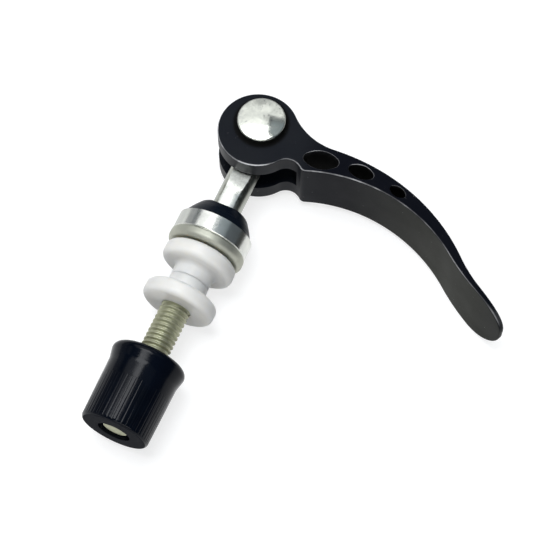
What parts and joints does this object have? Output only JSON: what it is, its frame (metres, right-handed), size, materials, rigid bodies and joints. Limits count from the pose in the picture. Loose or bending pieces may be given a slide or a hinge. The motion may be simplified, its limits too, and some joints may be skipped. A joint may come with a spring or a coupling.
{
  "type": "quick release seatpost clamp",
  "caption": "Quick release seatpost clamp: a forked cam lever on a draw bolt, a cam saddle in a steel cup, flanged nylon bushes and a ribbed thumb nut.",
  "frame": {"origin": "on the draw bolt's axis, at the near bush's clamping face", "axes": "+X along the bolt from the lever to the nut, +Z along the lever's pivot towards the rivet's head, +Y the way the closed lever reaches"},
  "size_m": [0.0743, 0.0674, 0.0178],
  "materials": {
    "black_paint": "satin black paint",
    "polished_rivet": "polished, fine marks",
    "zinc_steel": "zinc plated, faintly yellow",
    "black_nylon": "moulded, soft sheen",
    "polished_cup": "plated, turned",
    "white_nylon": "natural white nylon",
    "gloss_black": "glossy, blue black",
    "insert_brass": "turned"
  },
  "bodies": {
    "seat": {"upper_bush": "white_nylon"},
    "draw_bolt": {"bolt": "zinc_steel"},
    "lever": {"lever": "black_paint", "pivot_pin": "polished_rivet"},
    "cam_washer": {"cam_saddle": "black_nylon", "cup_washer": "polished_cup"},
    "far_bush": {"lower_bush": "white_nylon"},
    "nut": {"nut_shell": "gloss_black", "nut_insert": "insert_brass"}
  },
  "joints": [
    {"name": "bolt_turn", "type": "hinge", "parent": "seat", "child": "draw_bolt", "pos_m": [0, 0, 0], "axis": [1, 0, 0], "range_deg": [-3600, 2520]},
    {"name": "lever_pivot", "type": "hinge", "parent": "draw_bolt", "child": "lever", "pos_m": [-0.0316, 0, 0], "axis": [0, 0, 1], "range_deg": [0, 180]},
    {"name": "washer_slide", "type": "slide", "parent": "draw_bolt", "child": "cam_washer", "axis": [1, 0, 0], "range_m": [-0.0087, 0]},
    {"name": "far_bush_slide", "type": "slide", "parent": "seat", "child": "far_bush", "axis": [1, 0, 0], "range_m": [0, 0.003]},
    {"name": "nut_travel", "type": "slide", "parent": "seat", "child": "nut", "axis": [1, 0, 0], "range_m": [-0.007, 0.01]}
  ],
  "couplings": [
    {"joint": "nut_travel", "follows": "bolt_turn", "m_per_rad": -0.00015915}
  ]
}
